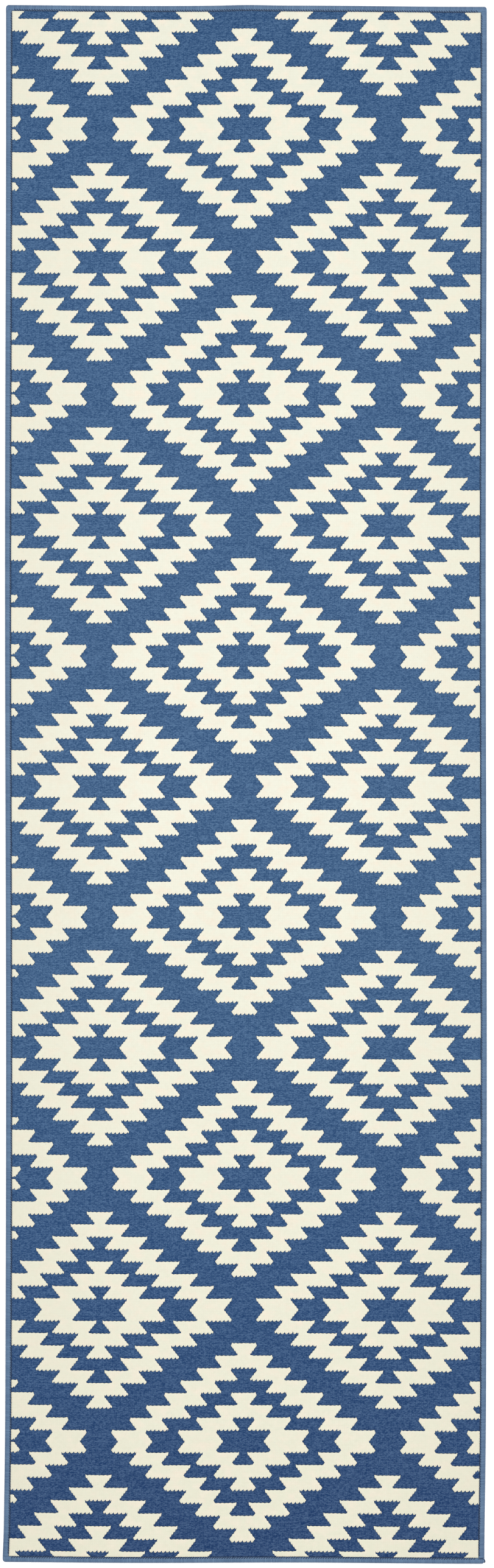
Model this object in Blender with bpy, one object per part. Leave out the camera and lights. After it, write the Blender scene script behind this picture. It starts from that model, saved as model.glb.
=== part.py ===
"""Woven runner rug with a two-colour cut pile: stacked woven layers, pile pieces and a serged edge.

The runner lies flat on Z = 0. X runs across it, Y along it with the head end at +Y, and the
origin is the middle of its underside. Sizes are in metres.

From the floor up: a latex coat, a lower weft layer, a warp layer, an upper weft layer, then the
pile. The blue pile is one piece: its yarn runs through the whole cloth. Each cream diamond is a
piece of its own, sunk into a pocket of the blue pile. Its two rings are joined by a flat stem of
buried yarn, which runs along the warp through a tunnel under the blue ring between them.
"""

import math

import bmesh
import bpy

# Overall sizes
RUG_WIDTH = 0.682
RUG_LENGTH = 2.210

# Thickness of each layer, and the gap between pieces that touch
GAP = 0.0003
LATEX_THICKNESS = 0.0008
WEFT_THICKNESS = 0.0005
WARP_THICKNESS = 0.0005
PILE_ROOT_THICKNESS = 0.0006
PILE_HEIGHT = 0.0042

# Serged edge: yarn wrapped round the edge of the cloth, and the thread that locks it down
SERGING_WIDTH = 0.0075
SERGING_YARN = 0.0008
SERGING_SIDE = 0.0012
SERGING_ROUND = 0.0020
SERGING_DROP = 0.0010
CORNER_RADIUS = 0.0040
STITCH_WIDTH = 0.0005
ROUND_STEPS = 4

# Diamonds: two rings in one outline, and the blue ground that stays between neighbours
DIAMOND_WIDTH = 0.3723
DIAMOND_LENGTH = 0.2776
GROUND_ACROSS = 0.0379
GROUND_ALONG = 0.0949
# Where each ring starts and ends, as shares of the diamond's own half width and half length
OUTER_RING = (1.00, 0.74)
INNER_RING = (0.49, 0.22)
STEM_WIDTH = 0.0080
STEM_THICKNESS = 0.0006

# The pattern's repeat. Neighbouring columns are half a repeat apart, and half a repeat along.
COLUMN_PITCH = (DIAMOND_WIDTH + GROUND_ACROSS) / 2
DIAMOND_PITCH = DIAMOND_LENGTH + GROUND_ALONG

# Heights, from the floor up
WEFT_LOWER_Z = LATEX_THICKNESS + GAP
WARP_Z = WEFT_LOWER_Z + WEFT_THICKNESS + GAP
WEFT_UPPER_Z = WARP_Z + WARP_THICKNESS + GAP
PILE_Z = WEFT_UPPER_Z + WEFT_THICKNESS + GAP
POCKET_Z = PILE_Z + PILE_ROOT_THICKNESS
PILE_TOP_Z = POCKET_Z + PILE_HEIGHT
SERGING_TOP_Z = PILE_TOP_Z - SERGING_DROP

# Where the pieces end, measured from the middle of the runner
CLOTH_HALF_X = RUG_WIDTH / 2 - SERGING_SIDE - GAP
CLOTH_HALF_Y = RUG_LENGTH / 2 - SERGING_SIDE - GAP
INNER_HALF_X = RUG_WIDTH / 2 - SERGING_WIDTH
INNER_HALF_Y = RUG_LENGTH / 2 - SERGING_WIDTH
FIELD_HALF_X = INNER_HALF_X - STITCH_WIDTH - 2 * GAP
FIELD_HALF_Y = INNER_HALF_Y - STITCH_WIDTH - 2 * GAP

# How far a cutter runs past the surface that it cuts
PAST = 0.0020

BLUE_YARN = (0.055, 0.125, 0.265)
CREAM_YARN = (0.84, 0.80, 0.66)
SERGING_BLUE = (0.125, 0.215, 0.365)
NAVY_THREAD = (0.020, 0.045, 0.120)
JUTE = (0.42, 0.30, 0.17)
COTTON = (0.66, 0.62, 0.54)
LATEX = (0.62, 0.58, 0.50)


def clear_scene():
    for obj in list(bpy.data.objects):
        bpy.data.objects.remove(obj, do_unlink=True)


def finish(name, colour, roughness):
    """A plain yarn or rubber finish, shared by the pieces that have it."""
    found = bpy.data.materials.get(name)
    if found:
        return found
    made = bpy.data.materials.new(name)
    made.use_nodes = True
    shader = made.node_tree.nodes["Principled BSDF"]
    shader.inputs["Base Color"].default_value = (*colour, 1.0)
    shader.inputs["Roughness"].default_value = roughness
    shader.inputs["Metallic"].default_value = 0.0
    return made


def add_object(name, mesh, material=None):
    obj = bpy.data.objects.new(name, mesh)
    bpy.context.scene.collection.objects.link(obj)
    if material:
        mesh.materials.append(material)
    return obj


def prism(name, outline, low, high, holes=()):
    """A mesh with an outline in X and Y, raised from low to high. Each hole goes right through."""
    shape = bmesh.new()
    rings = []
    for points in (outline, *holes):
        corners = [shape.verts.new((x, y, low)) for x, y in points]
        rings.append(
            [shape.edges.new((a, b)) for a, b in zip(corners, corners[1:] + corners[:1])]
        )
    edges = [edge for ring in rings for edge in ring]
    bmesh.ops.triangle_fill(shape, edges=edges, use_beauty=True, use_dissolve=True)
    raised = bmesh.ops.extrude_face_region(shape, geom=list(shape.faces))
    top = [item for item in raised["geom"] if isinstance(item, bmesh.types.BMVert)]
    bmesh.ops.translate(shape, verts=top, vec=(0.0, 0.0, high - low))
    bmesh.ops.recalc_face_normals(shape, faces=list(shape.faces))
    mesh = bpy.data.meshes.new(name)
    shape.to_mesh(mesh)
    shape.free()
    return mesh


def rectangle(half_x, half_y, middle_x=0.0, middle_y=0.0):
    return [
        (middle_x + across * half_x, middle_y + along * half_y)
        for across, along in ((-1, -1), (1, -1), (1, 1), (-1, 1))
    ]


def slab(name, half_x, half_y, low, high, material=None, middle_x=0.0, middle_y=0.0):
    outline = rectangle(half_x, half_y, middle_x, middle_y)
    return add_object(name, prism(name, outline, low, high), material)


def helper(obj):
    """Marks a cutter, which isn't a piece of the runner."""
    obj.hide_render = True
    obj.display_type = "WIRE"
    return obj


def boolean(obj, operation, other):
    step = obj.modifiers.new(operation.title(), "BOOLEAN")
    step.operation = operation
    step.solver = "EXACT"
    step.object = helper(other)


def apply_modifiers(obj):
    """Writes the modifiers into the mesh, so that the cutters behind them can go."""
    graph = bpy.context.evaluated_depsgraph_get()
    cutters = [step.object for step in obj.modifiers if step.type == "BOOLEAN"]
    made = bpy.data.meshes.new_from_object(obj.evaluated_get(graph), depsgraph=graph)
    obj.modifiers.clear()
    obj.data = made
    for cutter in cutters:
        bpy.data.objects.remove(cutter, do_unlink=True)


# ---------------------------------------------------------------- woven layers


def add_woven_layers():
    jute = finish("jute_weft", JUTE, 0.95)
    cotton = finish("cotton_warp", COTTON, 0.9)
    latex = finish("latex", LATEX, 0.8)
    coat_half_x = INNER_HALF_X - GAP
    coat_half_y = INNER_HALF_Y - GAP
    slab("latex_back_coat", coat_half_x, coat_half_y, 0.0, LATEX_THICKNESS, latex)
    layers = (
        ("weft_layer_lower", WEFT_LOWER_Z, WEFT_THICKNESS, jute),
        ("warp_layer", WARP_Z, WARP_THICKNESS, cotton),
        ("weft_layer_upper", WEFT_UPPER_Z, WEFT_THICKNESS, jute),
    )
    for name, low, thickness, material in layers:
        slab(name, CLOTH_HALF_X, CLOTH_HALF_Y, low, low + thickness, material)


# ---------------------------------------------------------------- diamonds


def diamond_places():
    """(name, x, y) of each diamond that shows in the field, from the left and from the head."""
    columns = math.ceil((FIELD_HALF_X + DIAMOND_WIDTH / 2) / COLUMN_PITCH) - 1
    past_end = FIELD_HALF_Y + DIAMOND_LENGTH / 2
    names = {-2: "left_edge", -1: "left", 0: "centre", 1: "right", 2: "right_edge"}
    found = []
    for column in range(-columns, columns + 1):
        label = names.get(column, f"column_{column}")
        shift = DIAMOND_PITCH / 2 if column % 2 == 0 else 0.0
        rows = math.ceil((past_end + shift) / DIAMOND_PITCH)
        places = [row * DIAMOND_PITCH + shift for row in range(rows, -rows - 1, -1)]
        seen = [y for y in places if abs(y) < past_end]
        for number, y in enumerate(seen, 1):
            found.append((f"cream_diamond_{label}_{number}", column * COLUMN_PITCH, y))
    return found


def lozenge(share, grown, middle_x, middle_y):
    """A share of the diamond's outline, with its sides moved straight out by grown."""
    half_x = share * DIAMOND_WIDTH / 2
    half_y = share * DIAMOND_LENGTH / 2
    side = half_x * half_y / math.hypot(half_x, half_y)
    scale = (side + grown) / side
    corners = ((1, 0), (0, 1), (-1, 0), (0, -1))
    return [
        (middle_x + a * half_x * scale, middle_y + b * half_y * scale) for a, b in corners
    ]


def ring(name, shares, grown, x, y, low, high):
    outside, inside = shares
    hole = lozenge(inside, -grown, x, y)
    return prism(name, lozenge(outside, grown, x, y), low, high, [hole])


def stem(name, grown, x, y, low, high):
    """The buried yarn that joins both rings: along the warp, on the diamond's axis if it can be."""
    half_width = STEM_WIDTH / 2 + grown
    reach = FIELD_HALF_X - STEM_WIDTH / 2 - GAP
    middle_x = min(max(x, -reach), reach)
    middle_share = sum(OUTER_RING) / 2
    band_x = middle_share * DIAMOND_WIDTH / 2
    band_y = middle_share * DIAMOND_LENGTH / 2
    half_length = band_y * (1 - abs(x - middle_x) / band_x) + grown
    return prism(name, rectangle(half_width, half_length, middle_x, y), low, high)


def diamond(name, x, y, grown, low, high, stem_high, material=None):
    """Two rings and a stem made one. grown is 0 for the piece and GAP for its pocket."""
    shell = add_object(name, ring(name, OUTER_RING, grown, x, y, low, high), material)
    core = ring("core", INNER_RING, grown, x, y, low, high)
    boolean(shell, "UNION", add_object("core", core))
    boolean(shell, "UNION", add_object("stem", stem("stem", grown, x, y, low, stem_high)))
    return shell


def add_cream_diamonds():
    cream = finish("cream_yarn", CREAM_YARN, 0.9)
    low = POCKET_Z + GAP
    for name, x, y in diamond_places():
        piece = diamond(name, x, y, 0.0, low, PILE_TOP_Z, low + STEM_THICKNESS, cream)
        field = slab(
            "field", FIELD_HALF_X - GAP, FIELD_HALF_Y - GAP, low - PAST, PILE_TOP_Z + PAST
        )
        boolean(piece, "INTERSECT", field)
        apply_modifiers(piece)


def add_blue_pile():
    """The blue pile with its root, which runs on under the serging, and a pocket for each diamond."""
    blue = finish("blue_yarn", BLUE_YARN, 0.9)
    under_serging = SERGING_TOP_Z - SERGING_YARN - GAP
    pile = slab("blue_ground_pile", CLOTH_HALF_X, CLOTH_HALF_Y, PILE_Z, under_serging, blue)
    field = slab("field", FIELD_HALF_X, FIELD_HALF_Y, PILE_Z, PILE_TOP_Z)
    boolean(pile, "UNION", field)
    stem_high = POCKET_Z + STEM_THICKNESS + 2 * GAP
    for name, x, y in diamond_places():
        pocket = diamond("pocket", x, y, GAP, POCKET_Z, PILE_TOP_Z + PAST, stem_high)
        limit = slab("limit", FIELD_HALF_X, FIELD_HALF_Y, POCKET_Z - PAST, PILE_TOP_Z + 2 * PAST)
        boolean(pocket, "INTERSECT", limit)
        apply_modifiers(pocket)
        boolean(pile, "DIFFERENCE", pocket)
    apply_modifiers(pile)


# ---------------------------------------------------------------- serged edge


def rounded_rectangle(half_x, half_y, radius):
    """An outline with round corners, counter-clockwise."""
    points = []
    for quarter, (across, along) in enumerate(((1, 1), (-1, 1), (-1, -1), (1, -1))):
        for step in range(ROUND_STEPS + 1):
            turn = math.radians(90 * (quarter + step / ROUND_STEPS))
            points.append(
                (
                    across * (half_x - radius) + radius * math.cos(turn),
                    along * (half_y - radius) + radius * math.sin(turn),
                )
            )
    return points


def rounded_block():
    """The serging of all four sides before it is divided: a plate whose rim is rounded over."""
    outline = rounded_rectangle(RUG_WIDTH / 2, RUG_LENGTH / 2, CORNER_RADIUS)
    block = add_object("serging_block", prism("serging_block", outline, 0.0, SERGING_TOP_Z))
    shape = bmesh.new()
    shape.from_mesh(block.data)
    flat = [face for face in shape.faces if abs(face.normal.z) > 0.5]
    bmesh.ops.dissolve_faces(shape, faces=[face for face in flat if face.normal.z > 0])
    bmesh.ops.dissolve_faces(
        shape, faces=[face for face in shape.faces if face.normal.z < -0.5]
    )
    rim = [edge for edge in shape.edges if abs(edge.verts[0].co.z - edge.verts[1].co.z) < GAP]
    bmesh.ops.bevel(
        shape,
        geom=rim,
        offset=SERGING_ROUND,
        offset_type="OFFSET",
        segments=ROUND_STEPS,
        profile=0.5,
        affect="EDGES",
    )
    shape.to_mesh(block.data)
    shape.free()
    return block


def add_serging(name, half_x, half_y, middle_x, middle_y):
    """One side's wrap: its share of the rounded block, less the slot that holds the cloth."""
    wrap = rounded_block()
    wrap.name = name
    wrap.data.materials.append(finish("serging_yarn", SERGING_BLUE, 0.7))
    share = slab("share", half_x, half_y, -PAST, PILE_TOP_Z + PAST, None, middle_x, middle_y)
    boolean(wrap, "INTERSECT", share)
    slot_low = WEFT_LOWER_Z - GAP
    slot_high = SERGING_TOP_Z - SERGING_YARN
    slot = slab("slot", CLOTH_HALF_X + GAP, CLOTH_HALF_Y + GAP, slot_low, slot_high)
    boolean(wrap, "DIFFERENCE", slot)
    apply_modifiers(wrap)


def add_stitching(name, half_x, half_y, middle_x, middle_y):
    thread = finish("navy_thread", NAVY_THREAD, 0.6)
    low = SERGING_TOP_Z - SERGING_YARN
    slab(name, half_x, half_y, low, SERGING_TOP_Z, thread, middle_x, middle_y)


def add_edges():
    """The head and foot wraps cover the ends of the side wraps, which were sewn first."""
    half_wrap = SERGING_WIDTH / 2
    half_stitch = STITCH_WIDTH / 2
    side_half_y = INNER_HALF_Y - GAP
    side_x = RUG_WIDTH / 2 - half_wrap
    end_y = RUG_LENGTH / 2 - half_wrap
    stitch_x = INNER_HALF_X - GAP - half_stitch
    stitch_y = INNER_HALF_Y - GAP - half_stitch
    end_stitch_half_x = stitch_x - half_stitch - GAP
    for side, sign in (("left", -1), ("right", 1)):
        add_serging(f"serging_{side}", half_wrap, side_half_y, sign * side_x, 0.0)
        add_stitching(f"stitching_{side}", half_stitch, side_half_y, sign * stitch_x, 0.0)
    for end, sign in (("head", 1), ("foot", -1)):
        add_serging(f"serging_{end}", RUG_WIDTH / 2 + PAST, half_wrap, 0.0, sign * end_y)
        add_stitching(f"stitching_{end}", end_stitch_half_x, half_stitch, 0.0, sign * stitch_y)


def main():
    clear_scene()
    add_woven_layers()
    add_cream_diamonds()
    add_blue_pile()
    add_edges()


main()
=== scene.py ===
# %% [markdown]
# # A woven runner rug, piece by piece
# The runner is a flat-lying textile built up in layers: a latex coat, weft and warp yarns, a cut
# pile in two colours, and a serged edge that is locked down with navy thread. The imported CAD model
# is loaded first as a fixed frame. The places and the overall sizes below are worked out from it, so
# the detailed pieces lie where the plain solids are, to within a few millimetres. Lengths are in
# metres and X runs across the runner, Y along it towards the head end, and Z up from the floor.

# %% Load the frame
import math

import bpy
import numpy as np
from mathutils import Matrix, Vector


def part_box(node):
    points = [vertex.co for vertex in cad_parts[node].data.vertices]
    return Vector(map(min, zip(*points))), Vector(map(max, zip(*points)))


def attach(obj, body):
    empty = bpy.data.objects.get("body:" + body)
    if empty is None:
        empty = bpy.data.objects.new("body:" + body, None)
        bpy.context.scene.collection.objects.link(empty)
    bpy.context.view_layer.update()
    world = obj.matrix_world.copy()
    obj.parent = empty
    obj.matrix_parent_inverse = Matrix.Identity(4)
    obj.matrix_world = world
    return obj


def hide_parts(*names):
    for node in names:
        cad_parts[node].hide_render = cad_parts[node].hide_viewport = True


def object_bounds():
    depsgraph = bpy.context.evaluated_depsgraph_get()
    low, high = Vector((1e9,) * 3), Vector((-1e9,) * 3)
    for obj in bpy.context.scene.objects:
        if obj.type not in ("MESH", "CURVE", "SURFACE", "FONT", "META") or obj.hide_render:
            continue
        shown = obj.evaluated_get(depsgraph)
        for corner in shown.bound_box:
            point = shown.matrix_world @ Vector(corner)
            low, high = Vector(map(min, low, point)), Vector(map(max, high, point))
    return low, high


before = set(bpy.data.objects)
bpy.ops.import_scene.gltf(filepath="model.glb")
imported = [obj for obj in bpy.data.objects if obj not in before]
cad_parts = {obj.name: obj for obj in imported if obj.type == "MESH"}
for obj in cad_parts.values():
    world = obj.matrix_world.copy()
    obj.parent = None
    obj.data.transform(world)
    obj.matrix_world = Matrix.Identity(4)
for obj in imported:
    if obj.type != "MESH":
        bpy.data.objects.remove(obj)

# %% [markdown]
# ## Measures
# A scene that copies numbers out of another file goes wrong as soon as one of them changes. Here
# the heights and edges are read from the boxes of the CAD nodes instead.

MM = 0.001
GAP = 0.3 * MM

cad_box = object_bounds()
rug_half_x, rug_half_y = cad_box[1].x, cad_box[1].y
root_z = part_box("blue_ground_pile")[0].z
pile_top_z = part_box("blue_ground_pile")[1].z
cream_low_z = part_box("cream_diamond_centre_1")[0].z
pocket_z = cream_low_z - GAP
field_half_x = -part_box("stitching_left")[1].x - GAP
field_half_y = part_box("stitching_head")[0].y - GAP
side_half_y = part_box("serging_left")[1].y
cloth_half_x, cloth_half_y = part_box("warp_layer")[1].xy
print(f"runner {2 * rug_half_x:.3f} x {2 * rug_half_y:.3f} m, pile field {2 * field_half_x:.4f} x "
      f"{2 * field_half_y:.4f} m, pile from {root_z / MM:.1f} to {pile_top_z / MM:.1f} mm")

# %% [markdown]
# ## Camera, light and floor
# A rug is shown straight from above, so that no side of it looks longer than the other. A long lens
# from far away keeps the two ends of the picture at the same scale. Most of the light is an even
# sky, and one large soft panel adds a gentle slope to it: pile has no gloss, so that is enough to
# show its rows.

# %% Camera
PICTURE_WIDTH, PICTURE_HEIGHT = 811, 2576
SHOWN_LENGTH = 2.2249
SHOWN_AIM_X = 1.3 * MM
CAMERA_HEIGHT = 12.0

camera = bpy.data.objects.new("camera", bpy.data.cameras.new("camera"))
bpy.context.scene.collection.objects.link(camera)
camera.data.sensor_width = 36.0
camera.data.lens = camera.data.sensor_width * CAMERA_HEIGHT / SHOWN_LENGTH
camera.data.clip_end = 100.0
camera.location = (SHOWN_AIM_X, 0.0, pile_top_z + CAMERA_HEIGHT)
bpy.context.scene.camera = camera
shown_width = SHOWN_LENGTH * PICTURE_WIDTH / PICTURE_HEIGHT
print(f"the picture takes in {shown_width:.3f} x {SHOWN_LENGTH:.3f} m, lens {camera.data.lens:.0f} mm")

# %% Light
SKY_STRENGTH = 0.80
PANEL_POWER = 126.0
PANEL_PLACE = (0.6, 0.7, 4.5)
PANEL_SIZE = (3.0, 5.0)

scene = bpy.context.scene
scene.view_settings.view_transform = "Standard"
scene.world = bpy.data.worlds.new("studio")
scene.world.use_nodes = True
sky = scene.world.node_tree.nodes["Background"]
sky.inputs["Color"].default_value = (1.0, 1.0, 1.0, 1.0)
sky.inputs["Strength"].default_value = SKY_STRENGTH

panel = bpy.data.objects.new("soft_panel", bpy.data.lights.new("soft_panel", "AREA"))
scene.collection.objects.link(panel)
panel.data.shape = "RECTANGLE"
panel.data.size, panel.data.size_y = PANEL_SIZE
panel.data.energy = PANEL_POWER
panel.location = PANEL_PLACE
panel.rotation_euler = (-panel.location).to_track_quat("-Z", "Y").to_euler()
print(f"one soft panel of {PANEL_POWER:.0f} W and an even sky of {SKY_STRENGTH}")

# %% [markdown]
# ## Writing shader maths as plain sums
# A procedural material is a graph of small nodes. Placing each node and each link by hand hides
# the sum that they stand for. `Flow` wraps a socket, so that `0.5 + 0.3 * noise` adds the two Math
# nodes by itself. Every other node comes from `Finish.node`, which sets the node's options first
# and then fills its sockets with values or links.

# %% Flow and Finish
class Flow:
    """A value on its way through a shader. A sum written with it adds its own Math nodes."""

    def __init__(self, finish, socket):
        self.finish, self.socket = finish, socket

    def math(self, operation, *values):
        return self.finish.node("ShaderNodeMath", {"operation": operation}, dict(enumerate(values)))

    def __add__(self, other):
        return self.math("ADD", self, other)

    def __sub__(self, other):
        return self.math("SUBTRACT", self, other)

    def __rsub__(self, other):
        return self.math("SUBTRACT", other, self)

    def __mul__(self, other):
        return self.math("MULTIPLY", self, other)

    def __abs__(self):
        return self.math("ABSOLUTE", self)

    __radd__ = __add__
    __rmul__ = __mul__

    def above(self, low, high):
        """0 under low, 1 over high, and a straight slope between them."""
        sockets = {"Value": self, "From Min": low, "From Max": high}
        return self.finish.node("ShaderNodeMapRange", {"clamp": True}, sockets)


class Finish:
    """One material: its Principled shader, and the method that adds any other node to it."""

    def __init__(self, name, slot, roughness, sheen=0.0):
        self.slot = slot
        self.material = bpy.data.materials.new(name)
        self.material.use_nodes = True
        self.shader = self.material.node_tree.nodes["Principled BSDF"]
        self.set("Roughness", roughness)
        self.set("Sheen Weight", sheen)
        self.set("Sheen Roughness", 0.5)
        self.set("Specular IOR Level", 0.2)

    def node(self, kind, settings, sockets, output=0):
        made = self.material.node_tree.nodes.new(kind)
        for option, value in settings.items():
            if option == "stops":
                self.set_stops(made.color_ramp, value)
            else:
                setattr(made, option, value)
        for place, value in sockets.items():
            if isinstance(value, Flow):
                self.material.node_tree.links.new(value.socket, made.inputs[place])
            else:
                made.inputs[place].default_value = value
        return Flow(self, made.outputs[output])

    @staticmethod
    def set_stops(ramp, stops):
        while len(ramp.elements) < len(stops):
            ramp.elements.new(1.0)
        for element, (place, colour) in zip(ramp.elements, stops):
            element.position, element.color = place, colour

    def set(self, socket, value):
        if isinstance(value, Flow):
            self.material.node_tree.links.new(value.socket, self.shader.inputs[socket])
        else:
            self.shader.inputs[socket].default_value = value

    def place(self):
        """Where a point lies, in metres from the middle of the runner."""
        return self.node("ShaderNodeTexCoord", {}, {}, "Object")

    def axis(self, letter):
        return self.node("ShaderNodeSeparateXYZ", {}, {"Vector": self.place()}, letter)

    def noise(self, stretch, detail=2.0, where=None):
        """Cloudy values from 0 to 1, with stretch patches per metre along each axis."""
        spread = {0: where or self.place(), 1: stretch}
        scaled = self.node("ShaderNodeVectorMath", {"operation": "MULTIPLY"}, spread)
        return self.node("ShaderNodeTexNoise", {}, {"Vector": scaled, "Scale": 1.0, "Detail": detail})

    def attribute(self, name):
        """A number that the piece's own mesh holds at each point."""
        return self.node("ShaderNodeAttribute", {"attribute_name": name}, {}, "Fac")

    def mix(self, first, second, share):
        settings = {"data_type": "RGBA"}
        return self.node("ShaderNodeMix", settings, {0: share, 6: first, 7: second}, 2)

    def bump(self, height, depth, strength):
        sockets = {"Height": height, "Distance": depth, "Strength": strength}
        self.set("Normal", self.node("ShaderNodeBump", {}, sockets, "Normal"))


def dye(red, green, blue):
    """A colour from its usual 0 to 255 numbers, as the even-stepped light that a shader wants."""
    even = [part / 255 for part in (red, green, blue)]
    return (*(v / 12.92 if v < 0.04 else ((v + 0.055) / 1.055) ** 2.4 for v in even), 1.0)


# %% [markdown]
# ## The pile yarns
# The pile is soft wool-like yarn, cut so that the ends stand up. Its colour is never flat: the tip
# of each tuft gets its own amount of painted light, whole bands of rows lie a little more this way
# or that, and painted shade darkens the gaps between tufts. A number that the pile meshes carry at
# each point is near 1 on the tip of a tuft and low in the gaps, with some random spread. It drives
# this painted light and shade, and two noises add a grain and longer bands. A ramp along Y makes
# the whole runner slowly darker towards both ends, the blue most of all at the foot. Dark cut ends
# hardly shine, so the blue's specular level is set lower than the others'.

# %% Blue yarn
# How much each part counts in the blue's light and dark, and what is taken off their sum. The tuft
# part is painted light on the tips and painted shade in the gaps; the grain and the bands are random
TUFT_SHADE, GRAIN_SHADE, BAND_SHADE, SHADE_LESS = 0.55, 3.30, 0.60, 1.73


def lengthwise(finish, stops):
    along = finish.axis("Y").above(-rug_half_y, rug_half_y)
    return finish.node("ShaderNodeValToRGB", {"stops": stops}, {"Fac": along}, "Color")


blue_yarn = Finish("blue_pile_yarn", "blue_yarn", 0.92, sheen=0.12)
blue_yarn.set("Specular IOR Level", 0.05)
# The blue is darker towards both ends of the runner, most of all at the foot
blue_body = lengthwise(blue_yarn, (
    (0.00, dye(20, 54, 99)), (0.20, dye(37, 73, 116)), (0.38, dye(53, 88, 126)),
    (0.60, dye(55, 89, 127)), (0.85, dye(51, 86, 125)), (1.00, dye(40, 77, 117)),
))
blue_grain = blue_yarn.noise((380.0, 760.0, 60.0), detail=3.0)
blue_bands = blue_yarn.noise((16.0, 190.0, 1.0))
blue_shade = (TUFT_SHADE * blue_yarn.attribute("tone") + GRAIN_SHADE * blue_grain
              + BAND_SHADE * blue_bands - SHADE_LESS)
# Where the tuft part leads, the dark end of this mix is painted shade and the light end painted light
blue_dark = blue_yarn.mix(blue_body, dye(28, 48, 86), 0.42)
blue_light = blue_yarn.mix(blue_body, dye(150, 178, 208), 0.16)
blue_yarn.set("Base Color", blue_yarn.mix(blue_dark, blue_light, blue_shade))
blue_yarn.bump(blue_yarn.noise((1400.0, 1400.0, 500.0), detail=3.0), 0.5 * MM, 0.5)
print("blue yarn:", len(blue_yarn.material.node_tree.nodes), "nodes")

# %% Cream yarn
cream_yarn = Finish("cream_pile_yarn", "cream_yarn", 0.92, sheen=0.10)
# The cream is a little darker towards both ends of the runner
cream_body = lengthwise(cream_yarn, (
    (0.00, dye(220, 219, 199)), (0.50, dye(227, 226, 211)), (1.00, dye(219, 219, 203)),
))
cream_patches = cream_yarn.noise((55.0, 75.0, 1.0), detail=4.0).above(0.45, 0.75)
cream_warm = cream_yarn.mix(cream_body, dye(230, 220, 203), cream_patches)
# Darker towards the long sides of the runner
cream_edge = 0.5 * abs(cream_yarn.axis("X")).above(0.15, rug_half_x)
cream_darker_sides = cream_yarn.mix(cream_warm, dye(214, 211, 192), cream_edge)
# Painted shade: a darker, browner cream in the gaps between tufts, broken up by noise
cream_gap_shade = (1 - cream_yarn.attribute("tone")) * cream_yarn.noise((260.0, 260.0, 60.0), detail=3.0)
cream_with_gap_shade = cream_yarn.mix(cream_darker_sides, dye(200, 196, 172), 0.45 * cream_gap_shade)
fluff = cream_yarn.noise((420.0, 420.0, 90.0), detail=1.0).above(0.74, 0.82)
cream_yarn.set("Base Color", cream_yarn.mix(cream_with_gap_shade, dye(178, 190, 198), 0.45 * fluff))
cream_yarn.bump(cream_yarn.noise((1400.0, 1400.0, 500.0), detail=3.0), 0.5 * MM, 0.4)
print("cream yarn:", len(cream_yarn.material.node_tree.nodes), "nodes")

# %% [markdown]
# ## The edge yarns
# The serging is a smoother, slightly shinier yarn wrapped tightly round the edge, in a greyer and
# lighter blue than the pile. Every wrap reflects a little differently, so its mesh carries the wrap's
# number, and a noise read along that number gives each one its own shade. Painted shade darkens the
# dips between the wraps and the outer rim of the bead. The thread that locks the serging down is
# plain navy.

# %% Serging yarn and navy thread
serging_yarn = Finish("serging_blue_yarn", "serging_yarn", 0.62, sheen=0.25)
wraps = serging_yarn.node("ShaderNodeUVMap", {"uv_map": "wraps"}, {}, "UV")
per_wrap = serging_yarn.noise((0.9, 0.05, 1.0), detail=1.0, where=wraps)
long_runs = serging_yarn.noise((0.035, 0.02, 1.0), where=wraps)
serging_shade = 0.9 * per_wrap + 0.8 * long_runs - 0.35
serging_body = serging_yarn.mix(dye(58, 87, 122), dye(122, 151, 180), serging_shade)
# Painted shade: a dark blue in the dips between the wraps and along the bead's outer rim
serging_painted_shade = 1 - serging_yarn.attribute("tone")
serging_yarn.set("Base Color", serging_yarn.mix(serging_body, dye(34, 54, 86), 0.55 * serging_painted_shade))
serging_yarn.bump(serging_yarn.noise((3.0, 8.0, 1.0), where=wraps), 0.25 * MM, 0.5)

navy_thread = Finish("navy_lock_thread", "navy_thread", 0.55, sheen=0.15)
navy_patches = navy_thread.noise((300.0, 300.0, 300.0))
navy_thread.set("Base Color", navy_thread.mix(dye(16, 31, 62), dye(42, 65, 102), navy_patches))
navy_thread.bump(navy_thread.noise((1800.0, 1800.0, 1800.0)), 0.2 * MM, 0.5)
print("serging yarn:", len(serging_yarn.material.node_tree.nodes), "nodes")

# %% [markdown]
# ## The hidden yarns and the latex
# Under the pile lie jute wefts, cotton warps and a latex coat. They show only at the back and if
# the rug is taken apart, but they get real fibres too: noise that is stretched along the yarn
# reads as twisted fibre. Latex is brushed on thin, so the weave still prints through it.

# %% Jute, cotton and latex
jute = Finish("jute_weft_yarn", "jute_weft", 0.95, sheen=0.05)
jute_fibre = jute.noise((60.0, 1500.0, 1500.0), detail=4.0)
jute.set("Base Color", jute.mix(dye(124, 96, 62), dye(190, 160, 116), jute_fibre))
jute.bump(jute_fibre, 0.3 * MM, 0.6)

cotton = Finish("cotton_warp_yarn", "cotton_warp", 0.9, sheen=0.08)
cotton_fibre = cotton.noise((1500.0, 60.0, 1500.0), detail=4.0)
cotton.set("Base Color", cotton.mix(dye(186, 178, 160), dye(226, 220, 204), cotton_fibre))
cotton.bump(cotton_fibre, 0.2 * MM, 0.5)

latex = Finish("latex_coat", "latex", 0.7)
latex_clouds = latex.noise((14.0, 14.0, 1.0), detail=5.0)
latex_grain = latex.noise((700.0, 700.0, 300.0), detail=3.0)
latex_worn = latex.mix(dye(176, 168, 150), dye(214, 207, 190), latex_clouds)
latex.set("Base Color", latex.mix(latex_worn, dye(150, 138, 116), 0.4 * latex_grain))
latex.set("Roughness", 0.55 + 0.35 * latex_grain)
latex.bump(latex_grain, 0.3 * MM, 0.5)
print("latex:", len(latex.material.node_tree.nodes), "nodes")

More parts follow.
